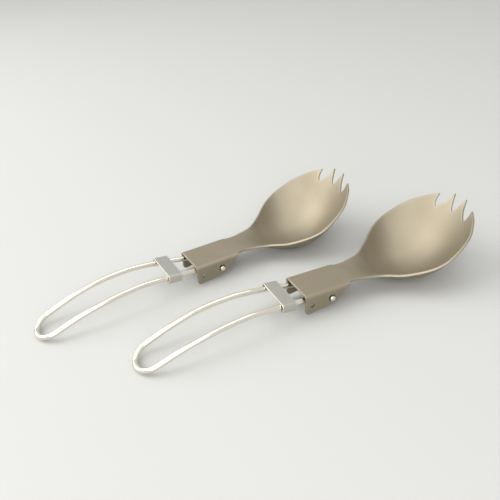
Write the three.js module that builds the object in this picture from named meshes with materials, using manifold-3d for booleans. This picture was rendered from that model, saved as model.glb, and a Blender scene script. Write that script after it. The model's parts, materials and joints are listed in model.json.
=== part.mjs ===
// A pair of folding sporks: a pressed sheet head, a bent wire handle that folds
// under it, and a sliding lock collar on each. Millimetres, +Z up.
import * as THREE from 'three';
import { mergeVertices } from 'three/addons/utils/BufferGeometryUtils.js';
import Module from 'manifold-3d';

const wasm = await Module();
wasm.setup();

// ---- driving dimensions of one spork ------------------------------------
// Its own frame: X forward to the tines, Y to the left, Z up, with the origin
// on the middle line of the channel's top plate, just ahead of its rear edge.
const SHEET = 1.0;                // thickness of the head's sheet
const CHANNEL_HALF = 8.0;         // half the width over the flanges
const CHANNEL_REAR = -1.0;         // rear end of the channel
const BEND = 1.5;                 // outer radius of the flange bends
const FLANGE_DEPTH = 8.9;         // top plate down to the flange's rear lower corner
const FLANGE_CORNER = 2.0;        // radius of that corner
const FLANGE_END = 20.3;          // where the flange runs out into the neck
const LOWER_SLOPE = 0.14;         // slope of the flange's long lower edge
const FRONT_SLOPE = 0.93;         // slope of its front edge, up to the neck
const LOWER_ROUND = 0.35;         // how round the corner between those two is
const PIVOT = { x: 11.0, z: -4.1, radius: 1.6 };
const SPARE_HOLE = { x: 2.1, z: -4.8, radius: 1.05 };
const WIRE = 1.15;                // radius of the handle's wire
const PIN_REACH = 1.2;            // how far a wire end stands out of its flange
const PIN_BEND = 1.4;             // radius of the bend from leg to pin
const LEG_RISE = 0.14;            // slope of the straight legs, rising rearward
const LEG_END = -18;              // rear end of the straight legs
const LOOP_X = -61.5;             // centre of the handle's round end
const COLLAR = { half: 8.7, length: 6.2, sheet: 0.55, gap: 0.22, lip: 1.7, corner: 1.1 };

// Bowl and neck: half width, edge height, middle height and section exponent
// against x. The front is cut into four tines by three notches.
const HALF_WIDTH = [[FLANGE_END, 6.5], [24, 6.4], [29.7, 7.5], [36, 9.4], [42.4, 13.7],
  [50.9, 19.3], [58, 20.9], [68.6, 18.5], [75.3, 13.2], [78.1, 9.6], [80.6, 8.1]];
const EDGE_HEIGHT = [[18, 0], [29.7, -0.1], [36, -0.1], [42.4, 0.6], [50.9, 4.1], [58, 7.4],
  [68.6, 13.1], [78.1, 18.7], [80.6, 20.2]];
const MIDDLE_HEIGHT = [[18, 0], [24, -0.3], [30, -1.6], [36, -3.9], [42, -6.2], [48, -7.6],
  [54, -7.7], [60, -5.9], [66, -1.8], [71, 4.0], [76.9, 14.3], [80.6, 20.8]];
const ROUNDNESS = [[20, 2], [50, 2.4], [66, 2.2], [81, 1.6]];
const TINE_INNER = { x: 80.6, lane: 3, across: 0.412 };
const TINE_OUTER = { x: 78.1, lane: 10, across: 1 };
const NOTCH_MIDDLE = { x: 76.9, lane: 0, across: 0 };
const NOTCH_SIDE = { x: 75.3, lane: 6, across: 0.614 };
const NOTCH_ROUND = 0.2;          // how round the notch bottoms are
const LANES = 10;                 // lanes from the middle line to each edge
const SPREAD_FROM = 64;           // rows ahead of this bend to the tines' outline
const SPREAD_TO = 78;

// The wire handle behind the straight legs, against x.
const WIRE_HEIGHT = [[LEG_END, -0.04], [-26, 0.5], [-38, -0.4], [-50, -3.0], [LOOP_X, -7.0],
  [-68.1, -9.75]];
const WIRE_SPREAD = [[1, 5.6], [-2, 5.65], [-8, 6.3], [-14, 6.65], [-22, 6.9], [-30, 7.15],
  [-40, 7.4], [-50, 7.2], [LOOP_X, 6.8]];

// ---- the pair as it lies --------------------------------------------------
// Turn, tilt and the angle by which the handle is short of fully open, in degrees.
const SPORKS = [
  { name: 'rear_spork', x: 0, y: 0.35, yaw: 2.25, noseDown: 1.0, ajar: 0, collarRear: -14.3 },
  { name: 'front_spork', x: 28.0, y: -42.35, yaw: -2.25, noseDown: 2.3, ajar: 2.1, collarRear: -11.7 },
];

const FINISH = {
  head: { color: 0x8f8674, roughness: 0.55, metalness: 0.9 },
  wire: { color: 0xc9c4b8, roughness: 0.18, metalness: 1.0 },
  collar: { color: 0xa9a9a2, roughness: 0.35, metalness: 1.0 },
};

// A smooth curve through the knots: cubic pieces with the slope at each knot
// taken from its neighbours.
function through(knots, x) {
  const last = knots.length - 1;
  const rising = knots[last][0] > knots[0][0];
  const beyond = (knot) => (rising ? x > knot[0] : x < knot[0]);
  let i = 0;
  while (i < last - 1 && beyond(knots[i + 1])) i += 1;
  const slope = (k) => {
    const a = knots[Math.max(k - 1, 0)];
    const b = knots[Math.min(k + 1, last)];
    return (b[1] - a[1]) / (b[0] - a[0]);
  };
  const [x0, y0] = knots[i];
  const [x1, y1] = knots[i + 1];
  const span = x1 - x0;
  const t = THREE.MathUtils.clamp((x - x0) / span, 0, 1);
  const bulge = (t - 1) * (t - 1) * t * span * slope(i) + (t - 1) * t * t * span * slope(i + 1);
  return y0 + (y1 - y0) * t * t * (3 - 2 * t) + bulge;
}

function ramp(knots, value) {
  let i = 0;
  while (i < knots.length - 2 && value > knots[i + 1][0]) i += 1;
  const [a, b] = [knots[i], knots[i + 1]];
  return a[1] + (b[1] - a[1]) * (value - a[0]) / (b[0] - a[0]);
}

// ---- the head -------------------------------------------------------------
// Lower edge of the flange: a round rear corner, a long gently rising edge and a
// steep one up to the neck, with a rounded corner between them.
function flangeEdge(x) {
  const corner = CHANNEL_REAR + FLANGE_CORNER;
  const long = LOWER_SLOPE * (x - corner) - FLANGE_DEPTH;
  const steep = FRONT_SLOPE * (x - FLANGE_END);
  const sweep = (long + steep) / 2 + Math.hypot((long - steep) / 2, LOWER_ROUND);
  const short = Math.max(corner - x, 0);
  return Math.min(sweep, 0) + FLANGE_CORNER - Math.sqrt(FLANGE_CORNER ** 2 - short ** 2);
}

// Half the flat width of the sheet, measured round the bend.
function flatHalf(x) {
  if (x >= FLANGE_END) return through(HALF_WIDTH, x);
  const drop = -flangeEdge(x);
  const plate = CHANNEL_HALF - BEND;
  if (drop < BEND) return plate + BEND * Math.acos(1 - drop / BEND);
  return plate + BEND * Math.PI / 2 + drop - BEND;
}

// Place on the folded channel at a distance s from the middle line.
function onChannel(s) {
  const plate = CHANNEL_HALF - BEND;
  const turn = (s - plate) / BEND;
  if (turn <= 0) return [s, 0];
  if (turn <= Math.PI / 2) return [plate + BEND * Math.sin(turn), BEND * (Math.cos(turn) - 1)];
  return [CHANNEL_HALF, -BEND - (s - plate - BEND * Math.PI / 2)];
}

// Share of the half width at a lane: the lanes follow the bends in the channel
// and the tines in the bowl.
function acrossAt(lane, x) {
  const half = flatHalf(x);
  const plate = Math.min((CHANNEL_HALF - BEND) / half, 0.55);
  const folded = Math.min(plate + BEND * Math.PI / 2 / half, 0.8);
  const inChannel = ramp([[0, 0], [3, plate], [6, folded], [LANES, 1]], lane);
  const inBowl = ramp([TINE_INNER, NOTCH_SIDE, TINE_OUTER].reduce(
    (list, mark) => [...list, [mark.lane, mark.across]], [[0, 0]]), lane);
  const share = THREE.MathUtils.smoothstep(x, 12, 24);
  return inChannel + (inBowl - inChannel) * share;
}

// Upper surface of the sheet at x, on the share p of the half width.
function upper(x, p) {
  const s = Math.abs(p) * flatHalf(x);
  const [foldY, foldZ] = onChannel(s);
  const middle = through(MIDDLE_HEIGHT, x);
  const edge = through(EDGE_HEIGHT, x);
  const dishZ = middle + (edge - middle) * Math.pow(Math.abs(p), through(ROUNDNESS, x));
  const dish = THREE.MathUtils.smoothstep(x, 19, 26);
  const y = foldY + (s - foldY) * dish;
  return new THREE.Vector3(x, Math.sign(p) * y, foldZ + (dishZ - foldZ) * dish);
}

// Under surface: the upper one moved inwards by the sheet's thickness.
function lower(x, p) {
  const step = 0.02;
  const along = upper(x + step, p).sub(upper(Math.max(x - step, CHANNEL_REAR), p));
  const side = p + step > 1 ? upper(x, p).sub(upper(x, p - step))
    : upper(x, p + step).sub(upper(x, Math.max(p - step, -1)));
  const normal = along.cross(side).normalize();
  return upper(x, p).addScaledVector(normal, -SHEET);
}

// Front outline: four tines between rounded notches.
function frontEdge(lane) {
  const marks = [NOTCH_MIDDLE, TINE_INNER, NOTCH_SIDE, TINE_OUTER];
  let i = 0;
  while (i < marks.length - 2 && lane > marks[i + 1].lane) i += 1;
  const share = (lane - marks[i].lane) / (marks[i + 1].lane - marks[i].lane);
  const [notch, tip, q] = i === 1 ? [marks[2], marks[1], 1 - share] : [marks[i], marks[i + 1], share];
  const top = Math.hypot(1, NOTCH_ROUND) - NOTCH_ROUND;
  return notch.x + (tip.x - notch.x) * (Math.hypot(q, NOTCH_ROUND) - NOTCH_ROUND) / top;
}

function headRows() {
  const rows = [0, 0.3, 1, FLANGE_CORNER].map((step) => CHANNEL_REAR + step);
  rows.push(5, 9, 12.2, 13.6, 15, 17, 18.7, FLANGE_END);
  for (let x = 24; x < SPREAD_FROM; x += 4) rows.push(x);
  for (let share = 0; share <= 6; share += 1) {
    rows.push(SPREAD_FROM + (SPREAD_TO - SPREAD_FROM) * share / 6);
  }
  return rows;
}

// Both faces of the sheet as one grid each, joined round the edge.
function headSheet() {
  const rows = headRows();
  const wide = 2 * LANES + 1;
  const points = [];
  for (const surface of [upper, lower]) {
    for (const row of rows) {
      for (let lane = -LANES; lane <= LANES; lane += 1) {
        const far = Math.max(row - SPREAD_FROM, 0) / (SPREAD_TO - SPREAD_FROM);
        const start = Math.min(row, SPREAD_FROM);
        const x = start + (frontEdge(Math.abs(lane)) - SPREAD_FROM) * far;
        const p = Math.sign(lane) * acrossAt(Math.abs(lane), x);
        points.push(...surface(x, p).toArray());
      }
    }
  }
  const under = rows.length * wide;
  const at = (row, column) => row * wide + column;
  const faces = [];
  const quad = (a, b, c, d) => faces.push(a, b, c, a, c, d);
  for (let r = 0; r < rows.length - 1; r += 1) {
    for (let c = 0; c < wide - 1; c += 1) {
      const ring = [at(r, c), at(r + 1, c), at(r + 1, c + 1), at(r, c + 1)];
      quad(...ring);
      quad(...ring.map((k) => k + under).reverse());
    }
    quad(at(r, 0), at(r, 0) + under, at(r + 1, 0) + under, at(r + 1, 0));
    const edge = wide - 1;
    quad(at(r + 1, edge), at(r + 1, edge) + under, at(r, edge) + under, at(r, edge));
  }
  for (let c = 0; c < wide - 1; c += 1) {
    const front = rows.length - 1;
    quad(at(0, c + 1), at(0, c + 1) + under, at(0, c) + under, at(0, c));
    quad(at(front, c), at(front, c) + under, at(front, c + 1) + under, at(front, c + 1));
  }
  const geometry = new THREE.BufferGeometry();
  geometry.setAttribute('position', new THREE.Float32BufferAttribute(points, 3));
  geometry.setIndex(faces);
  return geometry;
}

function toSolid(source) {
  const bare = source.clone();
  bare.deleteAttribute('normal');
  bare.deleteAttribute('uv');
  const merged = mergeVertices(bare, 1e-4);
  return new wasm.Manifold(new wasm.Mesh({
    numProp: 3,
    vertProperties: new Float32Array(merged.attributes.position.array),
    triVerts: new Uint32Array(merged.index.array),
  }));
}

function fromSolid(solid) {
  const mesh = solid.getMesh();
  const geometry = new THREE.BufferGeometry();
  geometry.setAttribute('position', new THREE.Float32BufferAttribute(mesh.vertProperties, 3));
  geometry.setIndex(Array.from(mesh.triVerts));
  return geometry;
}

// The sheet with its pivot hole and its spare hole drilled through both flanges.
function headGeometry() {
  let solid = toSolid(headSheet());
  for (const hole of [PIVOT, SPARE_HOLE]) {
    const drill = new THREE.CylinderGeometry(hole.radius, hole.radius, 4 * CHANNEL_HALF, 16);
    drill.translate(hole.x, 0, hole.z);
    solid = solid.subtract(toSolid(drill));
  }
  return fromSolid(solid);
}

// ---- the wire handle --------------------------------------------------------
function wireHeight(x) {
  if (x > LEG_END) return PIVOT.z + (PIVOT.x - x) * LEG_RISE;
  return through(WIRE_HEIGHT, x);
}

// A path through given points, one step of the sweep to each point.
class StationPath extends THREE.Curve {
  constructor(stations) {
    super();
    this.stations = stations;
  }

  getPoint(t, target = new THREE.Vector3()) {
    const place = THREE.MathUtils.clamp(t, 0, 1) * (this.stations.length - 1);
    const i = Math.min(Math.floor(place), this.stations.length - 2);
    return target.lerpVectors(this.stations[i], this.stations[i + 1], place - i);
  }

  getPointAt(t, target) {
    return this.getPoint(t, target);
  }

  getTangentAt(t, target) {
    return this.getTangent(t, target);
  }
}

// One side of the handle: out of the pivot hole, round the bend, along the leg
// and round a quarter of the loop's end.
function wireSide() {
  const side = [new THREE.Vector3(PIVOT.x, CHANNEL_HALF + PIN_REACH, PIVOT.z)];
  const leg = through(WIRE_SPREAD, 1);
  for (let turn = 0; turn <= 3; turn += 1) {
    const angle = turn * Math.PI / 6;
    const x = PIVOT.x - PIN_BEND * (1 - Math.cos(angle));
    side.push(new THREE.Vector3(x, leg + PIN_BEND * (1 - Math.sin(angle)), wireHeight(x)));
  }
  for (let x = 4; x > LOOP_X; x -= x > -24 ? 4 : 6) {
    side.push(new THREE.Vector3(x, through(WIRE_SPREAD, Math.min(x, 1)), wireHeight(x)));
  }
  const radius = through(WIRE_SPREAD, LOOP_X);
  for (let turn = 0; turn <= 3; turn += 1) {
    const angle = turn * Math.PI / 6;
    const x = LOOP_X - radius * Math.sin(angle);
    side.push(new THREE.Vector3(x, radius * Math.cos(angle), wireHeight(x)));
  }
  return side;
}

function wireGeometry() {
  const left = wireSide();
  const right = left.slice(0, -1).reverse().map((p) => new THREE.Vector3(p.x, -p.y, p.z));
  const stations = [...left, ...right];
  const sides = 8;
  const section = new THREE.Shape(Array.from({ length: sides }, (_, k) => {
    const angle = 2 * Math.PI * k / sides;
    return new THREE.Vector2(WIRE * Math.cos(angle), WIRE * Math.sin(angle));
  }));
  const steps = stations.length - 1;
  return new THREE.ExtrudeGeometry(section, { steps, extrudePath: new StationPath(stations) });
}

// ---- the lock collar --------------------------------------------------------
// A strip bent into a C round both wires, its lips curled in underneath.
function collarGeometry() {
  const { half, length, sheet, gap, lip, corner } = COLLAR;
  const tall = WIRE + gap + sheet;
  const bent = corner - sheet;
  const strip = new THREE.Shape();
  strip.moveTo(half - lip, -tall);
  strip.lineTo(half - corner, -tall);
  strip.absarc(half - corner, corner - tall, corner, -Math.PI / 2, 0, false);
  strip.absarc(half - corner, tall - corner, corner, 0, Math.PI / 2, false);
  strip.absarc(corner - half, tall - corner, corner, Math.PI / 2, Math.PI, false);
  strip.absarc(corner - half, corner - tall, corner, Math.PI, 1.5 * Math.PI, false);
  strip.lineTo(lip - half, -tall);
  strip.lineTo(lip - half, sheet - tall);
  strip.absarc(corner - half, corner - tall, bent, 1.5 * Math.PI, Math.PI, true);
  strip.absarc(corner - half, tall - corner, bent, Math.PI, Math.PI / 2, true);
  strip.absarc(half - corner, tall - corner, bent, Math.PI / 2, 0, true);
  strip.absarc(half - corner, corner - tall, bent, 0, -Math.PI / 2, true);
  strip.lineTo(half - lip, sheet - tall);
  strip.closePath();
  const depth = length;
  const geometry = new THREE.ExtrudeGeometry(strip, { depth, bevelEnabled: false, curveSegments: 2 });
  const turn = new THREE.Matrix4().makeBasis(
    new THREE.Vector3(0, 1, 0), new THREE.Vector3(0, 0, 1), new THREE.Vector3(1, 0, 0));
  return geometry.applyMatrix4(turn);
}

// ---- the pair -----------------------------------------------------------------
function piece(name, geometry, finish) {
  const mesh = new THREE.Mesh(geometry, new THREE.MeshStandardMaterial(finish));
  mesh.name = name;
  return mesh;
}

const shapes = { head: headGeometry(), wire: wireGeometry(), collar: collarGeometry() };
const pair = new THREE.Group();
for (const place of SPORKS) {
  const spork = new THREE.Group();
  spork.add(piece(`${place.name}_head`, shapes.head, FINISH.head));

  // The handle and its collar turn together about the pivot.
  const handle = new THREE.Group();
  handle.position.set(PIVOT.x, 0, PIVOT.z);
  handle.rotation.y = -THREE.MathUtils.degToRad(place.ajar);
  const wire = piece(`${place.name}_wire_handle`, shapes.wire, FINISH.wire);
  wire.position.set(-PIVOT.x, 0, -PIVOT.z);
  const collar = piece(`${place.name}_lock_collar`, shapes.collar, FINISH.collar);
  collar.position.set(place.collarRear - PIVOT.x, 0, wireHeight(place.collarRear) - PIVOT.z);
  collar.rotation.y = Math.atan(LEG_RISE);
  handle.add(wire, collar);
  spork.add(handle);

  spork.rotation.order = 'ZYX';
  spork.rotation.set(0, THREE.MathUtils.degToRad(place.noseDown), THREE.MathUtils.degToRad(place.yaw));
  spork.position.set(place.x, place.y, 0);
  spork.updateMatrixWorld(true);
  spork.position.z = -new THREE.Box3().setFromObject(spork, true).min.z;
  pair.add(spork);
}

// The origin is on the table, below the middle of the pair.
pair.updateMatrixWorld(true);
const bounds = new THREE.Box3().setFromObject(pair, true);
const centre = bounds.getCenter(new THREE.Vector3());
pair.position.set(-centre.x, -centre.y, 0);

export default pair;
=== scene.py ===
"""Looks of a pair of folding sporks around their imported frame.

Each spork has a head pressed from titanium sheet, a loop handle bent from
stainless wire and a lock collar bent from stainless strip. Shapes are worked
out in millimetres in a spork's own frame (X forward to the tines, Y to the
left, Z up, the origin on the middle line of the channel's top plate, just ahead
of its rear edge) and are then put where the frame's joints say.
"""
import json
import math

import bpy
import numpy as np
from bpy.props import FloatProperty, FloatVectorProperty, IntProperty, PointerProperty
from mathutils import Matrix, Vector


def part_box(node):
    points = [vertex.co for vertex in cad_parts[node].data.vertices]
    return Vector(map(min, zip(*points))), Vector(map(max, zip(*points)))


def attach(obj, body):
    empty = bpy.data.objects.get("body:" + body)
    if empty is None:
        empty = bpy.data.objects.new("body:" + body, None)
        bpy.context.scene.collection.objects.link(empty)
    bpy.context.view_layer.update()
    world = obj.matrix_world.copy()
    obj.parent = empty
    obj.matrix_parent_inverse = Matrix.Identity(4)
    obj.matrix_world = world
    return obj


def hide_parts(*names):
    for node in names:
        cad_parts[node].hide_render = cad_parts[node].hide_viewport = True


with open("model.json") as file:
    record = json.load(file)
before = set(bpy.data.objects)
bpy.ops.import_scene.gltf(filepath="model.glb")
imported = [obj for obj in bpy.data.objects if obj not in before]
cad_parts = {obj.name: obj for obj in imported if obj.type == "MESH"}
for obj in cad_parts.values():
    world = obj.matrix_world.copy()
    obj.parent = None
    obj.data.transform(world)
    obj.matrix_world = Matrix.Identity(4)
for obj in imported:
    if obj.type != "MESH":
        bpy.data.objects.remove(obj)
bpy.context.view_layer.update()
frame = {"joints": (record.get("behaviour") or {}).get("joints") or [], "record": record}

bl_info = {
    "name": "Folding Sporks",
    "version": (1, 0, 0),
    "blender": (4, 5, 0),
    "location": "View3D > Sidebar > Sporks",
    "description": "Builds the heads, wire handles and lock collars of two folding sporks",
    "category": "Add Mesh",
}

MM = 0.001
SPORKS = ("rear", "front")

# ---- shape of one head, in millimetres -----------------------------------
CHANNEL_REAR = -1.0       # rear end of the channel
FLANGE_END = 20.3         # where the flange runs out into the neck
FLANGE_DEPTH = 8.9        # top plate down to the flange's rear lower corner
FLANGE_CORNER = 2.0       # radius of that corner
LOWER_SLOPE = 0.14        # slope of the flange's long lower edge
FRONT_SLOPE = 0.93        # slope of its front edge, up to the neck
LOWER_ROUND = 0.35        # how round the corner between those two is
PIVOT = (11.0, -4.1)      # hole for the wire's end, in X and Z
SPARE_HOLE = (2.1, -4.8)
HALF_WIDTH = [[FLANGE_END, 6.5], [24, 6.4], [29.7, 7.5], [36, 9.4], [42.4, 13.7],
              [50.9, 19.3], [58, 20.9], [68.6, 18.5], [75.3, 13.2], [78.1, 9.6], [80.6, 8.1]]
EDGE_HEIGHT = [[18, 0], [29.7, -0.1], [36, -0.1], [42.4, 0.6], [50.9, 4.1], [58, 7.4],
               [68.6, 13.1], [78.1, 18.7], [80.6, 20.2]]
MIDDLE_HEIGHT = [[18, 0], [24, -0.3], [30, -1.6], [36, -3.9], [42, -6.2], [48, -7.6],
                 [54, -7.7], [60, -5.9], [66, -1.8], [71, 4.0], [76.9, 14.3], [80.6, 20.8]]
ROUNDNESS = [[20, 2], [50, 2.4], [66, 2.2], [81, 1.6]]
# Front outline marks: lane, share of the half width, X.
NOTCH_MIDDLE = (0, 0.0, 76.9)
TINE_INNER = (3, 0.412, 80.6)
NOTCH_SIDE = (6, 0.614, 75.3)
TINE_OUTER = (10, 1.0, 78.1)
NOTCH_ROUND = 0.2
TIP_ROUND = 0.05
LANES = 10
SPREAD_FROM = 64.0        # rows ahead of this bend to the tines' outline
SPREAD_TO = 78.0
DISH = (19, 26)           # X over which the folded channel gives way to the dish
LANE_CHANGE = (12, 24)    # X over which the lanes leave the bends for the tines
CHANNEL_SHARES = (0.55, 0.8)  # most of the half width that plate and bends may take
DRILL_REACH = 12          # half length of a drill, past both flanges

# ---- the wire handle behind the channel, in millimetres -------------------
PATH_STEP = 0.3           # spacing of the centre line's points
PIN_KEEP = (6, 12)        # from a wire's end, where the averaging sets in
END_CLOSE = 0.45          # length over which a wire's end is drawn in
END_FLAT = 0.55           # share of the radius left at the flat
LEG_END = -18.0
LOOP_X = -61.5
PIN_BEND = 1.4
PIN_REACH = 1.2
LEG_RISE = 0.14
WIRE_HEIGHT = [[-68.1, -9.75], [LOOP_X, -7.0], [-50, -3.0], [-38, -0.4], [-26, 0.5],
               [LEG_END, -0.04]]
WIRE_SPREAD = [[LOOP_X, 6.8], [-50, 7.2], [-40, 7.4], [-30, 7.15], [-22, 6.9],
               [-14, 6.65], [-8, 6.3], [-2, 5.65], [1, 5.6]]

# ---- the lock collar, in millimetres ---------------------------------------
COLLAR_GAP = 0.22
COLLAR_LIP = 1.7
COLLAR_CORNER = 1.1
COLLAR_STEPS = np.array([0, 0.02, 0.06, 0.13, 0.22, 0.35])  # rows near an edge

# ---- the studio -------------------------------------------------------------
# Each lamp: place from the aim point, width and watts.
LAMPS = {
    "left_box": ((-0.64, 0.36, 0.53), 0.92, 7.5),
    "front_box": ((-0.48, -0.62, 0.40), 0.92, 5.5),
    "top_box": ((0.05, 0.02, 1.60), 1.60, 8.0),
}
ROOM_LEVEL = 1.0          # light from all round, above the horizon
FRONT_LEVEL = 0.12        # the same from below the horizon, towards -Y
BACK_LEVEL = 0.02         # and towards +Y
FLOOR_HALF = 6.0          # metres
FLOOR_DROP = 0.0002       # metres, clear of the lowest point
SHARP_ANGLE = math.radians(50)


def length(name, millimetres):
    """A length property in metres."""
    return FloatProperty(name=name, description=name + " of each spork", unit="LENGTH",
                         default=millimetres * MM, precision=5)


def colour(name, code):
    """A colour property whose default is given as an sRGB hex value."""
    return FloatVectorProperty(name=name, description=name, subtype="COLOR", size=3,
                               min=0, max=1, default=linear(code))


def linear(code):
    """sRGB hex to linear RGB: below 0.04045 a twelfth, above it a power of 2.4."""
    parts = [int(code[i:i + 2], 16) / 255 for i in (1, 3, 5)]
    return tuple(c / 12.92 if c <= 0.04045 else ((c + 0.055) / 1.055) ** 2.4 for c in parts)


class SporkSizes(bpy.types.PropertyGroup):
    sheet: length("Sheet thickness", 1.0)
    channel_half: length("Half width over the channel", 8.0)
    bend: length("Outer radius of the flange bends", 1.5)
    rim_round: length("Rounding of the sheet's edges", 0.2)
    pivot_hole: length("Radius of the pivot hole", 1.6)
    spare_hole: length("Radius of the spare hole", 1.05)
    wire: length("Radius of the handle wire", 1.15)
    collar_half: length("Half width over the lock collar", 8.7)
    collar_length: length("Length of the lock collar", 6.2)
    collar_sheet: length("Strip thickness of the lock collar", 0.55)
    wire_sides: IntProperty(name="Wire sides", description="Faces round the wire", default=28)


class SporkFinishes(bpy.types.PropertyGroup):
    titanium: colour("Blasted titanium", "#9E9583")
    titanium_dark: colour("Blasted titanium, darker patches", "#968D79")
    titanium_edge: colour("Tumbled titanium edge", "#A59D8B")
    wire: colour("Polished wire", "#E4DFD1")
    collar: colour("Satin strip", "#BCBBB2")
    floor: colour("Floor", "#B4B4B1")


class SporkStudio(bpy.types.PropertyGroup):
    azimuth: FloatProperty(name="Azimuth", description="Camera heading from +Y towards -X",
                           subtype="ANGLE", default=math.radians(-27.05))
    elevation: FloatProperty(name="Elevation", description="Camera height angle",
                             subtype="ANGLE", default=math.radians(33.7))
    roll: FloatProperty(name="Roll", description="Camera turn about its view line",
                        subtype="ANGLE", default=math.radians(3.3))
    distance: FloatProperty(name="Distance", description="Camera to the aim point",
                            unit="LENGTH", default=0.2446)
    lens: FloatProperty(name="Lens", description="Focal length in millimetres", default=39.5)
    aim: FloatVectorProperty(name="Aim", description="From the rear spork's plate to the aim point",
                             subtype="TRANSLATION", size=3, default=(0.0256, -0.0071, -0.0005))


# ---- numbers and meshes ------------------------------------------------------
def through(knots, x):
    """A smooth curve through the knots: cubic Hermite pieces, the slope at each
    knot being that of the line between its neighbours."""
    knots = np.asarray(knots, float)
    xs, ys = knots[:, 0], knots[:, 1]
    before = np.maximum(np.arange(len(xs)) - 1, 0)
    after = np.minimum(np.arange(len(xs)) + 1, len(xs) - 1)
    slopes = (ys[after] - ys[before]) / (xs[after] - xs[before])
    i = np.clip(np.searchsorted(xs, x, side="right") - 1, 0, len(xs) - 2)
    span = xs[i + 1] - xs[i]
    t = np.clip((x - xs[i]) / span, 0, 1)
    bulge = (t - 1) ** 2 * t * span * slopes[i] + (t - 1) * t * t * span * slopes[i + 1]
    return ys[i] + (ys[i + 1] - ys[i]) * t * t * (3 - 2 * t) + bulge


def smooth(x, low, high):
    """Smooth step: 3 t squared less 2 t cubed between low and high."""
    t = np.clip((x - low) / (high - low), 0, 1)
    return t * t * (3 - 2 * t)


def unit(vectors):
    return vectors / np.maximum(np.linalg.norm(vectors, axis=-1, keepdims=True), 1e-12)


def place_of(side):
    """Matrix from a spork's own frame to the frame's own. Its fold joint gives the
    pivot and the left axis, and its top plate's mount gives the up axis."""
    joint = next(j for j in frame["joints"] if j["name"] == f"{side}_handle_fold")
    plate = next(m for m in frame["record"]["mounts"] if m["name"] == f"{side}_top_plate")
    left = -Vector(joint["axis"]).normalized()
    up = Vector(plate["axis"]).normalized()
    ahead = left.cross(up).normalized()
    turn = Matrix((ahead, left, up)).transposed()
    pivot = Vector((PIVOT[0], 0, PIVOT[1])) * MM
    return Matrix.Translation(Vector(joint["pos_m"]) - turn @ pivot) @ turn.to_4x4()


def handle_place(side):
    """Matrix from the handle's frame, which is the spork's own frame with the
    handle fully open, to the whole frame's. The collar slides on the wire's legs,
    so the slope of its joint's axis gives the angle about the pivot."""
    head = place_of(side)
    joint = next(j for j in frame["joints"] if j["name"] == f"{side}_collar_slide")
    axis = head.to_3x3().inverted() @ Vector(joint["axis"])
    ajar = math.atan2(-axis.z, axis.x) - math.atan(LEG_RISE)
    pivot = Matrix.Translation(Vector((PIVOT[0], 0, PIVOT[1])) * MM)
    return head @ pivot @ Matrix.Rotation(ajar, 4, "Y") @ pivot.inverted()


def grid_faces(index, flip=False):
    """Quads between the neighbours of a grid of vertex numbers."""
    a, b = index[:-1, :-1], index[1:, :-1]
    c, d = index[1:, 1:], index[:-1, 1:]
    quads = np.stack([a, d, c, b] if flip else [a, b, c, d], -1)
    return quads.reshape(-1, 4)


def distance_to_edge(grid):
    """Distance from each grid point to the nearest point of the grid's outline,
    whose stretches are cut into eight."""
    loop = np.concatenate([grid[0], grid[1:, -1], grid[-1, -2::-1], grid[-2::-1, 0]])
    share = np.arange(8)[:, None, None] / 8
    dense = (loop[:-1] * (1 - share) + loop[1:] * share).reshape(-1, 3)
    points = grid.reshape(-1, 3)
    result = np.empty(len(points))
    for start in range(0, len(points), 2000):
        part = points[start:start + 2000]
        square = (part ** 2).sum(1)[:, None] + (dense ** 2).sum(1) - 2 * part @ dense.T
        result[start:start + 2000] = np.sqrt(np.maximum(square.min(1), 0))
    return result.reshape(grid.shape[:2])


def sheet_shell(surface, normal, thickness, rounding):
    """A sheet below a surface given on a grid, with rounded edges. Both faces lie
    half a thickness from the middle surface; within the rounding of the outline
    they close along an ellipse. Gives points, quads and each point's edge share."""
    middle = surface - normal * thickness / 2
    depth = distance_to_edge(middle)
    short = np.clip(1 - depth / rounding, 0, 1)
    lift = (normal * thickness / 2) * np.sqrt(1 - short ** 2)[..., None]
    rows, columns = depth.shape
    top = np.arange(rows * columns).reshape(rows, columns)
    under = top + rows * columns
    edge = np.zeros((rows, columns), bool)
    edge[[0, -1]] = True
    edge[:, [0, -1]] = True
    under = np.where(edge, top, under)
    lift[edge] = 0
    points = np.concatenate([(middle + lift).reshape(-1, 3), (middle - lift).reshape(-1, 3)])
    quads = np.concatenate([grid_faces(top), grid_faces(under, flip=True)])
    share = np.exp(-np.tile(depth.ravel(), 2) / (2 * rounding))
    used = np.zeros(len(points), bool)
    used[quads] = True
    renumber = np.cumsum(used) - 1
    return points[used], renumber[quads], share[used]


def mesh_from(name, points, faces, place=None):
    """A mesh from points in millimetres and faces as one array of vertex numbers."""
    world = np.asarray(points, float) * MM
    if place is not None:
        turn = np.array(place.to_3x3())
        world = world @ turn.T + np.array(place.translation)
    mesh = bpy.data.meshes.new(name)
    mesh.from_pydata(world.tolist(), [], [list(f) for f in faces])
    mesh.validate()
    mesh.update()
    return mesh


def show(mesh, material, body, node):
    """Links a finished mesh as a piece that rides on a body and stands for a node."""
    piece = bpy.data.objects.new(mesh.name, mesh)
    bpy.context.scene.collection.objects.link(piece)
    mesh.materials.clear()
    mesh.materials.append(material)
    mesh.polygons.foreach_set("use_smooth", np.ones(len(mesh.polygons), bool))
    mesh.set_sharp_from_angle(angle=SHARP_ANGLE)
    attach(piece, body)
    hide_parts(node)
    return piece


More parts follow.
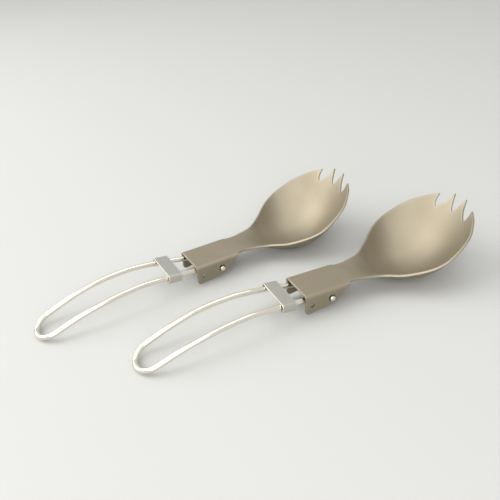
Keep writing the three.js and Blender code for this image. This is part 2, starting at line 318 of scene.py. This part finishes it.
# ---- the head ------------------------------------------------------------------
def flange_edge(x):
    """Height of the flange's lower edge: the upper envelope of a long gently
    rising line and a steep one, eased where they meet, less a quarter circle at
    the rear corner."""
    corner = CHANNEL_REAR + FLANGE_CORNER
    long = LOWER_SLOPE * (x - corner) - FLANGE_DEPTH
    steep = FRONT_SLOPE * (x - FLANGE_END)
    sweep = (long + steep) / 2 + np.hypot((long - steep) / 2, LOWER_ROUND)
    short = np.clip(corner - x, 0, FLANGE_CORNER)
    return np.minimum(sweep, 0) + FLANGE_CORNER - np.sqrt(FLANGE_CORNER ** 2 - short ** 2)


def flat_half(x, sizes):
    """Half the flat width of the sheet at x, measured round the bend."""
    plate = (sizes.channel_half - sizes.bend) / MM
    bend = sizes.bend / MM
    drop = -flange_edge(x)
    in_bend = plate + bend * np.arccos(np.clip(1 - drop / bend, -1, 1))
    folded = np.where(drop < bend, in_bend, plate + bend * math.pi / 2 + drop - bend)
    return np.where(x >= FLANGE_END, through(HALF_WIDTH, x), folded)


def upper_surface(x, p, sizes):
    """Upper side of the sheet at x, on the share p of its half width. Behind the
    neck it is a plate folded down round two bends. Ahead of it the height goes
    from the middle line to the edge as a power of p. A smooth step joins them."""
    plate = (sizes.channel_half - sizes.bend) / MM
    bend = sizes.bend / MM
    s = np.abs(p) * flat_half(x, sizes)
    turn = np.clip((s - plate) / bend, 0, math.pi / 2)
    past = np.maximum(s - plate - bend * math.pi / 2, 0)
    fold_y = np.minimum(s, plate) + bend * np.sin(turn)
    fold_z = bend * (np.cos(turn) - 1) - past
    middle = through(MIDDLE_HEIGHT, x)
    edge = through(EDGE_HEIGHT, x)
    dish_z = middle + (edge - middle) * np.abs(p) ** through(ROUNDNESS, x)
    dish = smooth(x, *DISH)
    y = fold_y + (s - fold_y) * dish
    return np.stack([x, np.sign(p) * y, fold_z + (dish_z - fold_z) * dish], -1)


def surface_normal(x, p, sizes):
    """Unit normal of the upper side, from short steps along and across it."""
    step = 0.01
    behind_x = np.maximum(x - step, CHANNEL_REAR)
    along = upper_surface(x + step, p, sizes) - upper_surface(behind_x, p, sizes)
    ahead, behind = np.minimum(p + step, 1), np.maximum(p - step, -1)
    across = upper_surface(x, ahead, sizes) - upper_surface(x, behind, sizes)
    return unit(np.cross(along, across))


def across_share(lane, x, sizes):
    """Share of the half width at a lane. Lanes follow the flange bends in the
    channel and the tines in the bowl, and change over smoothly between."""
    half = flat_half(x, sizes)
    plate = np.minimum((sizes.channel_half - sizes.bend) / MM / half, CHANNEL_SHARES[0])
    folded = np.minimum(plate + sizes.bend / MM * math.pi / 2 / half, CHANNEL_SHARES[1])
    third = np.clip(lane / 3, 0, 1) * plate
    third += np.clip(lane / 3 - 1, 0, 1) * (folded - plate)
    in_channel = third + np.clip((lane - 6) / (LANES - 6), 0, 1) * (1 - folded)
    marks = np.array([(0, 0), TINE_INNER[:2], NOTCH_SIDE[:2], TINE_OUTER[:2]])
    in_bowl = np.interp(lane, marks[:, 0], marks[:, 1])
    return in_channel + (in_bowl - in_channel) * smooth(x, *LANE_CHANGE)


def front_edge(lane):
    """X of the front outline at a lane: straight-sided tines, rounded where a
    notch turns and a little at the tips."""
    result = np.zeros_like(lane)
    stretches = ((NOTCH_MIDDLE, TINE_INNER), (NOTCH_SIDE, TINE_INNER), (NOTCH_SIDE, TINE_OUTER))
    for notch, tip in stretches:
        low, high = sorted((notch[0], tip[0]))
        inside = (lane >= low) & (lane <= high)
        q = np.abs(lane - notch[0]) / (high - low)
        q = 1 - (np.hypot(1 - q, TIP_ROUND) - TIP_ROUND) / (np.hypot(1, TIP_ROUND) - TIP_ROUND)
        rise = (np.hypot(q, NOTCH_ROUND) - NOTCH_ROUND) / (np.hypot(1, NOTCH_ROUND) - NOTCH_ROUND)
        result = np.where(inside, notch[2] + (tip[2] - notch[2]) * rise, result)
    return result


def head_grid():
    """Row positions and lanes, closer together near the sheet's edges."""
    close = np.array([0, 0.02, 0.07, 0.15, 0.25, 0.38, 0.55])
    corner = FLANGE_CORNER * (1 - np.cos(np.linspace(0.45, math.pi / 2, 12)))
    rows = np.concatenate([CHANNEL_REAR + close[:4] * 0.4, CHANNEL_REAR + corner,
                           np.arange(CHANNEL_REAR + 2.4, SPREAD_FROM, 0.55),
                           np.linspace(SPREAD_FROM, SPREAD_TO, 44)[:-1],
                           SPREAD_TO - close[::-1]])
    half = np.concatenate([np.arange(0, 9.6, 0.125), LANES - close[::-1] * 0.6])
    lanes = np.concatenate([-half[:0:-1], half])
    return np.unique(rows), np.unique(lanes)


def head_mesh(sizes):
    """The head in a spork's own frame, before its holes are drilled."""
    rows, lanes = head_grid()
    row, lane = np.meshgrid(rows, lanes, indexing="ij")
    far = np.maximum(row - SPREAD_FROM, 0) / (SPREAD_TO - SPREAD_FROM)
    x = np.minimum(row, SPREAD_FROM) + (front_edge(np.abs(lane)) - SPREAD_FROM) * far
    p = np.sign(lane) * across_share(np.abs(lane), x, sizes)
    surface = upper_surface(x, p, sizes)
    normal = surface_normal(x, p, sizes)
    points, quads, share = sheet_shell(surface, normal, sizes.sheet / MM, sizes.rim_round / MM)
    mesh = mesh_from("head_blank", points, quads)
    mesh.attributes.new("edge_share", "FLOAT", "POINT").data.foreach_set("value", share)
    return mesh


def drill_mesh(radius, place):
    """A closed cylinder across the channel: a circle carried along Y."""
    sides = 56
    angle = np.arange(sides) * 2 * math.pi / sides
    ring = np.stack([place[0] + radius * np.cos(angle), np.zeros(sides),
                     place[1] + radius * np.sin(angle)], -1)
    points = np.concatenate([ring - [0, DRILL_REACH, 0], ring + [0, DRILL_REACH, 0]])
    near = np.arange(sides)
    walls = np.stack([near, near + sides, np.roll(near, -1) + sides, np.roll(near, -1)], -1)
    faces = walls.tolist() + [near.tolist(), (near[::-1] + sides).tolist()]
    return mesh_from("drill", points, faces)


def drilled(blank, sizes):
    """The head with its pivot hole and its spare hole through both flanges."""
    holder = bpy.data.objects.new("head_blank", blank)
    bpy.context.scene.collection.objects.link(holder)
    drills = []
    for radius, place in ((sizes.pivot_hole, PIVOT), (sizes.spare_hole, SPARE_HOLE)):
        drill = bpy.data.objects.new("drill", drill_mesh(radius / MM, place))
        bpy.context.scene.collection.objects.link(drill)
        cut = holder.modifiers.new("hole", "BOOLEAN")
        cut.operation = "DIFFERENCE"
        cut.solver = "EXACT"
        cut.object = drill
        drills.append(drill)
    bpy.context.view_layer.update()
    graph = bpy.context.evaluated_depsgraph_get()
    result = bpy.data.meshes.new_from_object(holder.evaluated_get(graph))
    for spent in [holder, *drills]:
        bpy.data.objects.remove(spent)
    return result


# ---- the wire handle ---------------------------------------------------------------
def wire_height(x):
    """Height of the wire: a straight leg up to the leg's end, then the arch."""
    leg = PIVOT[1] + (PIVOT[0] - x) * LEG_RISE
    return np.where(x > LEG_END, leg, through(WIRE_HEIGHT, x))


def wire_path(sizes):
    """Centre line of the handle: out of a pivot hole, round a quarter bend, along
    the leg, half round the loop's end and back on the other side. Points are
    then spread evenly and averaged over a millimetre away from the pins."""
    leg = float(through(WIRE_SPREAD, 1.0))
    pin = np.linspace(sizes.channel_half / MM + PIN_REACH, leg + PIN_BEND, 12)[:-1]
    turn = np.linspace(0, math.pi / 2, 14)
    along = np.arange(PIVOT[0] - PIN_BEND - 0.3, LOOP_X, -0.5)
    end = np.linspace(0, math.pi / 2, 24)
    radius = float(through(WIRE_SPREAD, LOOP_X))
    x = np.concatenate([np.full(len(pin), PIVOT[0]), PIVOT[0] - PIN_BEND * (1 - np.cos(turn)),
                        along, LOOP_X - radius * np.sin(end)])
    y = np.concatenate([pin, leg + PIN_BEND * (1 - np.sin(turn)),
                        through(WIRE_SPREAD, np.minimum(along, 1.0)), radius * np.cos(end)])
    side = np.stack([x, y, wire_height(x)], -1)
    path = np.concatenate([side, side[-2::-1] * [1, -1, 1]])
    gone = np.concatenate([[0], np.cumsum(np.linalg.norm(np.diff(path, axis=0), axis=1))])
    even = np.linspace(0, gone[-1], int(gone[-1] / PATH_STEP))
    path = np.stack([np.interp(even, gone, path[:, k]) for k in range(3)], -1)
    window = np.hanning(11) / np.hanning(11).sum()
    padded = np.pad(path, ((5, 5), (0, 0)), mode="edge")
    eased = np.stack([np.convolve(padded[:, k], window, "valid") for k in range(3)], -1)
    free = smooth(np.minimum(even, even[-1] - even), *PIN_KEEP)[:, None]
    return path + (eased - path) * free


def wire_shell(sizes):
    """The wire: a circle carried along its centre line, drawn in to a small flat
    at each end along an ellipse. Gives points, quads, the grid of vertex numbers,
    and each ring's distance along the wire."""
    path = wire_path(sizes)
    radius = sizes.wire / MM
    sides = sizes.wire_sides
    ahead = unit(path[1] - path[0])
    back = unit(path[-1] - path[-2])
    close = np.array([0, 0.03, 0.09, 0.18, 0.3, END_CLOSE])
    path = np.concatenate([path[0] + close[:, None] * ahead, path[2:-2],
                           path[-1] - close[::-1, None] * back])
    tangent = unit(np.gradient(path, axis=0))
    side = unit(np.cross(np.array([0.0, 0.0, 1.0]), tangent))
    up = np.cross(tangent, side)
    angle = np.arange(sides + 1) * 2 * math.pi / sides
    pull = np.ones(len(path))
    pull[:6] = END_FLAT + (1 - END_FLAT) * np.sqrt(1 - (1 - close / END_CLOSE) ** 2)
    pull[-6:] = pull[5::-1]
    circle = (np.cos(angle)[None, :, None] * side[:, None]
              + np.sin(angle)[None, :, None] * up[:, None])
    points = path[:, None] + circle[:, :-1] * (radius * pull)[:, None, None]
    rows = len(path)
    index = np.arange(rows * sides).reshape(rows, sides)
    wrapped = np.concatenate([index, index[:, :1]], axis=1)
    quads = grid_faces(wrapped)
    gone = np.concatenate([[0], np.cumsum(np.linalg.norm(np.diff(path, axis=0), axis=1))])
    return points.reshape(-1, 3), quads, index, gone


def wire_mesh(name, sizes, place):
    """The wire's mesh, with a UV map in centimetres along and round it."""
    points, quads, index, gone = wire_shell(sizes)
    faces = quads.tolist() + [index[0].tolist(), index[-1, ::-1].tolist()]
    mesh = mesh_from(name, points, faces, place)
    layer = mesh.uv_layers.new(name="along_wire")
    corners = np.empty(len(mesh.loops), np.int64)
    mesh.loops.foreach_get("vertex_index", corners)
    sides = index.shape[1]
    row, column = corners // sides, corners % sides
    quad_corners = len(quads) * 4
    wrap = np.zeros(len(corners), bool)
    cells = column[:quad_corners].reshape(-1, 4)
    wrap[:quad_corners] = ((cells == 0) & (cells.max(1) == sides - 1)[:, None]).ravel()
    column = np.where(wrap, sides, column)
    around = column * 2 * math.pi * sizes.wire / MM / sides
    uv = np.stack([gone[row] / 10, around / 10], -1)
    layer.data.foreach_set("uv", uv.ravel())
    return mesh


# ---- the lock collar ------------------------------------------------------------------
def collar_section(sizes):
    """Outer line of the collar's C, from one lip round the sides and the top to
    the other lip: straight stretches joined by four quarter circles."""
    half = sizes.collar_half / MM
    tall = (sizes.wire + sizes.collar_sheet) / MM + COLLAR_GAP
    inset = half - COLLAR_CORNER
    lip = half - COLLAR_LIP + COLLAR_STEPS
    turn = np.linspace(-math.pi / 2, 0, 16)
    low = np.stack([inset + COLLAR_CORNER * np.cos(turn),
                    COLLAR_CORNER - tall + COLLAR_CORNER * np.sin(turn)], -1)
    high = np.stack([inset + COLLAR_CORNER * np.cos(turn + math.pi / 2),
                     tall - COLLAR_CORNER + COLLAR_CORNER * np.sin(turn + math.pi / 2)], -1)
    start = np.stack([lip, np.full(len(lip), -tall)], -1)
    top = np.stack([np.linspace(inset, 0, 24)[1:], np.full(23, tall)], -1)
    right = np.concatenate([start, low, high, top])
    keep = np.concatenate([[True], np.linalg.norm(np.diff(right, axis=0), axis=1) > 1e-6])
    right = right[keep]
    return np.concatenate([right, right[-2::-1] * [-1, 1]])


def collar_shell(sizes):
    """The collar: its C section carried along X, as a sheet inside that surface."""
    section = collar_section(sizes)
    long = sizes.collar_length / MM
    rows = np.concatenate([COLLAR_STEPS, np.linspace(0.5, long - 0.5, 24),
                           long - COLLAR_STEPS[::-1]])
    tangent = unit(np.gradient(section, axis=0))
    out = np.stack([tangent[:, 1], -tangent[:, 0]], -1)
    surface = np.stack([np.broadcast_to(rows[:, None], (len(rows), len(section))),
                        np.broadcast_to(section[:, 0], (len(rows), len(section))),
                        np.broadcast_to(section[:, 1], (len(rows), len(section)))], -1)
    normal = np.stack([np.zeros(surface.shape[:2]),
                       np.broadcast_to(out[:, 0], surface.shape[:2]),
                       np.broadcast_to(out[:, 1], surface.shape[:2])], -1)
    return sheet_shell(surface, normal, sizes.collar_sheet / MM, sizes.rim_round / MM / 2)


# ---- materials -----------------------------------------------------------------------
def add(tree, kind, inputs=None, **settings):
    """Adds a node, sets it, and links or fills its inputs."""
    node = tree.nodes.new(kind)
    for key, value in settings.items():
        setattr(node, key, value)
    for key, value in (inputs or {}).items():
        if isinstance(value, bpy.types.NodeSocket):
            tree.links.new(value, node.inputs[key])
        else:
            node.inputs[key].default_value = value
    return node


def new_material(name):
    material = bpy.data.materials.new(name)
    material.use_nodes = True
    material.node_tree.nodes.clear()
    return material, material.node_tree


def per_metre(millimetres):
    """Noise scale whose features are about this wide."""
    return 1 / (millimetres * MM)


def blasted_titanium(finishes):
    """Titanium sheet, pressed, then bead blasted: a warm grey with no clear
    reflection, fine pits that break up the light, faint cloudy patches from the
    blasting, and brighter, smoother edges where tumbling has rubbed them."""
    material, tree = new_material("blasted_titanium")
    place = add(tree, "ShaderNodeTexCoord").outputs["Object"]
    cloud = add(tree, "ShaderNodeTexNoise", {"Vector": place, "Scale": per_metre(11),
                                             "Detail": 3.0})
    # Blasting pits are about 0.05 mm: drawn at 0.4 mm so that they show.
    pit = add(tree, "ShaderNodeTexNoise", {"Vector": place, "Scale": per_metre(0.4),
                                           "Detail": 2.0})
    edge = add(tree, "ShaderNodeAttribute", attribute_name="edge_share")
    body = add(tree, "ShaderNodeMix", {"Factor": cloud.outputs["Fac"],
                                       "A": (*finishes.titanium_dark, 1),
                                       "B": (*finishes.titanium, 1)},
               data_type="RGBA")
    rubbed = add(tree, "ShaderNodeMath", {0: edge.outputs["Fac"], 1: 0.8}, operation="MULTIPLY")
    tone = add(tree, "ShaderNodeMix", {"Factor": rubbed.outputs[0], "A": body.outputs["Result"],
                                       "B": (*finishes.titanium_edge, 1)}, data_type="RGBA")
    rough = add(tree, "ShaderNodeMapRange", {"Value": pit.outputs["Fac"],
                                             "To Min": 0.52, "To Max": 0.64})
    eased = add(tree, "ShaderNodeMath", {0: rubbed.outputs[0], 1: -0.14,
                                         2: rough.outputs["Result"]}, operation="MULTIPLY_ADD")
    bump = add(tree, "ShaderNodeBump", {"Height": pit.outputs["Fac"], "Strength": 0.35,
                                        "Distance": 0.00004})
    shader = add(tree, "ShaderNodeBsdfPrincipled", {
        "Base Color": tone.outputs["Result"], "Metallic": 1.0,
        "Roughness": eased.outputs[0], "Normal": bump.outputs["Normal"]})
    add(tree, "ShaderNodeOutputMaterial", {"Surface": shader.outputs["BSDF"]})
    return material


def drawn_wire(finishes):
    """Stainless wire, drawn and polished: bright, with sharp reflections that
    fine lines along the wire draw out a little."""
    material, tree = new_material("polished_stainless_wire")
    place = add(tree, "ShaderNodeUVMap", uv_map="along_wire").outputs["UV"]
    # Die lines are about 0.02 mm: drawn at 0.15 mm across and 6 mm long.
    stretch = add(tree, "ShaderNodeMapping", {"Vector": place, "Scale": (1.6, 66.0, 1.0)})
    line = add(tree, "ShaderNodeTexNoise", {"Vector": stretch.outputs["Vector"], "Scale": 1.0,
                                            "Detail": 2.0})
    rough = add(tree, "ShaderNodeMapRange", {"Value": line.outputs["Fac"],
                                             "To Min": 0.10, "To Max": 0.18})
    bump = add(tree, "ShaderNodeBump", {"Height": line.outputs["Fac"], "Strength": 0.12,
                                        "Distance": 0.00002})
    shader = add(tree, "ShaderNodeBsdfPrincipled", {
        "Base Color": (*finishes.wire, 1), "Metallic": 1.0,
        "Roughness": rough.outputs["Result"], "Normal": bump.outputs["Normal"]})
    add(tree, "ShaderNodeOutputMaterial", {"Surface": shader.outputs["BSDF"]})
    return material


def satin_strip(finishes):
    """Stainless strip, belt brushed: a soft grey sheen with fine lines across the
    collar, and edges rubbed bright."""
    material, tree = new_material("satin_stainless_strip")
    place = add(tree, "ShaderNodeTexCoord").outputs["Object"]
    # Belt lines are about 0.05 mm: drawn at 0.25 mm across and 5 mm long.
    stretch = add(tree, "ShaderNodeMapping", {"Vector": place, "Scale": (
        per_metre(0.25), per_metre(5), per_metre(0.8))})
    line = add(tree, "ShaderNodeTexNoise", {"Vector": stretch.outputs["Vector"], "Scale": 1.0,
                                            "Detail": 3.0})
    edge = add(tree, "ShaderNodeAttribute", attribute_name="edge_share")
    rough = add(tree, "ShaderNodeMapRange", {"Value": line.outputs["Fac"],
                                             "To Min": 0.30, "To Max": 0.46})
    tone = add(tree, "ShaderNodeMix", {"Factor": edge.outputs["Fac"], "A": (*finishes.collar, 1),
                                       "B": (*finishes.wire, 1)}, data_type="RGBA")
    bump = add(tree, "ShaderNodeBump", {"Height": line.outputs["Fac"], "Strength": 0.25,
                                        "Distance": 0.00003})
    shader = add(tree, "ShaderNodeBsdfPrincipled", {
        "Base Color": tone.outputs["Result"], "Metallic": 1.0,
        "Roughness": rough.outputs["Result"], "Normal": bump.outputs["Normal"]})
    add(tree, "ShaderNodeOutputMaterial", {"Surface": shader.outputs["BSDF"]})
    return material


def paper_floor(finishes):
    """Matt pale grey paper: no gloss, hardly any grain."""
    material, tree = new_material("matt_grey_paper")
    place = add(tree, "ShaderNodeTexCoord").outputs["Object"]
    grain = add(tree, "ShaderNodeTexNoise", {"Vector": place, "Scale": per_metre(2.0),
                                             "Detail": 2.0})
    bump = add(tree, "ShaderNodeBump", {"Height": grain.outputs["Fac"], "Strength": 0.02,
                                        "Distance": 0.0001})
    shader = add(tree, "ShaderNodeBsdfPrincipled", {
        "Base Color": (*finishes.floor, 1), "Roughness": 0.9, "Normal": bump.outputs["Normal"]})
    add(tree, "ShaderNodeOutputMaterial", {"Surface": shader.outputs["BSDF"]})
    return material


# ---- operators --------------------------------------------------------------------------
class SPORKS_OT_heads(bpy.types.Operator):
    """Makes both titanium heads with their channels, bowls and tines"""
    bl_idname = "sporks.heads"
    bl_label = "Heads"

    def execute(self, context):
        sizes = context.scene.spork_sizes
        material = blasted_titanium(context.scene.spork_finishes)
        shape = drilled(head_mesh(sizes), sizes)
        for side in SPORKS:
            mesh = shape.copy()
            mesh.name = f"{side}_titanium_head"
            mesh.transform(place_of(side))
            show(mesh, material, f"{side}_head", f"{side}_spork_head")
        bpy.data.meshes.remove(shape)
        return {"FINISHED"}


class SPORKS_OT_wire_handles(bpy.types.Operator):
    """Makes both loop handles of bent wire"""
    bl_idname = "sporks.wire_handles"
    bl_label = "Wire Handles"

    def execute(self, context):
        sizes = context.scene.spork_sizes
        material = drawn_wire(context.scene.spork_finishes)
        for side in SPORKS:
            mesh = wire_mesh(f"{side}_wire_loop", sizes, handle_place(side))
            show(mesh, material, f"{side}_handle", f"{side}_spork_wire_handle")
        return {"FINISHED"}


class SPORKS_OT_lock_collars(bpy.types.Operator):
    """Makes both lock collars of bent strip"""
    bl_idname = "sporks.lock_collars"
    bl_label = "Lock Collars"

    def execute(self, context):
        sizes = context.scene.spork_sizes
        material = satin_strip(context.scene.spork_finishes)
        points, quads, share = collar_shell(sizes)
        for side in SPORKS:
            place = handle_place(side) @ collar_place(side)
            mesh = mesh_from(f"{side}_sliding_collar", points, quads, place)
            mesh.attributes.new("edge_share", "FLOAT", "POINT").data.foreach_set("value", share)
            show(mesh, material, f"{side}_collar", f"{side}_spork_lock_collar")
        return {"FINISHED"}


def collar_place(side):
    """Matrix from the collar's own frame to its handle's: on the wires' straight
    legs, its rear end where the frame's collar node begins."""
    low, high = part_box(f"{side}_spork_lock_collar")
    centre = handle_place(side).inverted() @ ((low + high) / 2)
    tilt = Matrix.Rotation(math.atan(LEG_RISE), 4, "Y")
    half = bpy.context.scene.spork_sizes.collar_length / 2
    rear = centre.x - half * math.cos(math.atan(LEG_RISE))
    height = float(wire_height(rear / MM)) * MM
    return Matrix.Translation((rear, 0, height)) @ tilt


class SPORKS_OT_stage(bpy.types.Operator):
    """Makes the floor, the lights, the sky and the camera"""
    bl_idname = "sporks.stage"
    bl_label = "Stage"

    def execute(self, context):
        scene = context.scene
        studio = scene.spork_studio
        floor = bpy.data.meshes.new("floor")
        corners = [(x * FLOOR_HALF, y * FLOOR_HALF, -FLOOR_DROP)
                   for x, y in ((-1, -1), (1, -1), (1, 1), (-1, 1))]
        floor.from_pydata(corners, [], [(0, 1, 2, 3)])
        floor.materials.append(paper_floor(scene.spork_finishes))
        ground = bpy.data.objects.new("floor", floor)
        scene.collection.objects.link(ground)
        aim = place_of("rear").translation + Vector(studio.aim)
        self.lights(scene, aim)
        self.sky(scene)
        self.camera(scene, studio, aim)
        scene.view_settings.view_transform = "Standard"
        return {"FINISHED"}

    def lights(self, scene, aim):
        """Two soft boxes on the handles' side, and a wide weak one overhead."""
        for name, (place, size, power) in LAMPS.items():
            lamp = bpy.data.lights.new(name, "AREA")
            lamp.shape = "DISK"
            lamp.size = size
            lamp.energy = power
            light = bpy.data.objects.new(name, lamp)
            light.location = aim + Vector(place)
            light.rotation_euler = (-Vector(place)).to_track_quat("-Z", "Y").to_euler()
            scene.collection.objects.link(light)

    def sky(self, scene):
        """An even room above the horizon. Below it the light falls from the front
        level at -Y to the back level at +Y."""
        world = bpy.data.worlds.new("studio")
        world.use_nodes = True
        tree = world.node_tree
        tree.nodes.clear()
        place = add(tree, "ShaderNodeTexCoord").outputs["Generated"]
        way = add(tree, "ShaderNodeSeparateXYZ", {"Vector": place})
        front = add(tree, "ShaderNodeMapRange", {
            "Value": way.outputs["Y"], "From Min": -0.5, "From Max": 0.1,
            "To Min": FRONT_LEVEL, "To Max": BACK_LEVEL})
        over = add(tree, "ShaderNodeMapRange", {
            "Value": way.outputs["Z"], "From Min": -0.1, "From Max": 0.08})
        level = add(tree, "ShaderNodeMix", {
            "Factor": over.outputs["Result"], "A": front.outputs["Result"],
            "B": ROOM_LEVEL}, data_type="FLOAT")
        back = add(tree, "ShaderNodeBackground", {"Strength": level.outputs["Result"]})
        add(tree, "ShaderNodeOutputWorld", {"Surface": back.outputs["Background"]})
        scene.world = world

    def camera(self, scene, studio, aim):
        """A camera on the view line through the aim point, rolled about it."""
        data = bpy.data.cameras.new("camera")
        data.sensor_width = 36.0
        data.lens = studio.lens
        flat = math.cos(studio.elevation)
        ahead = Vector((math.sin(-studio.azimuth) * flat, math.cos(studio.azimuth) * flat,
                        -math.sin(studio.elevation)))
        right = ahead.cross(Vector((0, 0, 1))).normalized()
        up = right.cross(ahead)
        turn = Matrix((right, up, -ahead)).transposed().to_4x4()
        roll = Matrix.Rotation(-studio.roll, 4, "Z")
        eye = bpy.data.objects.new("camera", data)
        eye.matrix_world = Matrix.Translation(aim - ahead * studio.distance) @ turn @ roll
        scene.collection.objects.link(eye)
        scene.camera = eye


class SPORKS_PT_panel(bpy.types.Panel):
    """Lists the sporks' pieces, sizes and colours"""
    bl_idname = "SPORKS_PT_panel"
    bl_label = "Folding Sporks"
    bl_space_type = "VIEW_3D"
    bl_region_type = "UI"
    bl_category = "Sporks"

    def draw(self, context):
        for operator in OPERATORS:
            self.layout.operator(operator.bl_idname)
        for name in GROUPS:
            group = getattr(context.scene, name)
            column = self.layout.column()
            for key in group.__annotations__:
                column.prop(group, key)


OPERATORS = (SPORKS_OT_heads, SPORKS_OT_wire_handles, SPORKS_OT_lock_collars, SPORKS_OT_stage)
GROUPS = {"spork_sizes": SporkSizes, "spork_finishes": SporkFinishes, "spork_studio": SporkStudio}


def register():
    for cls in (*GROUPS.values(), *OPERATORS, SPORKS_PT_panel):
        bpy.utils.register_class(cls)
    for name, group in GROUPS.items():
        setattr(bpy.types.Scene, name, PointerProperty(type=group))


def unregister():
    for name in GROUPS:
        delattr(bpy.types.Scene, name)
    for cls in reversed((*GROUPS.values(), *OPERATORS, SPORKS_PT_panel)):
        bpy.utils.unregister_class(cls)


def main():
    register()
    bpy.ops.sporks.heads()
    bpy.ops.sporks.wire_handles()
    bpy.ops.sporks.lock_collars()
    bpy.ops.sporks.stage()


if __name__ == "__main__":
    main()
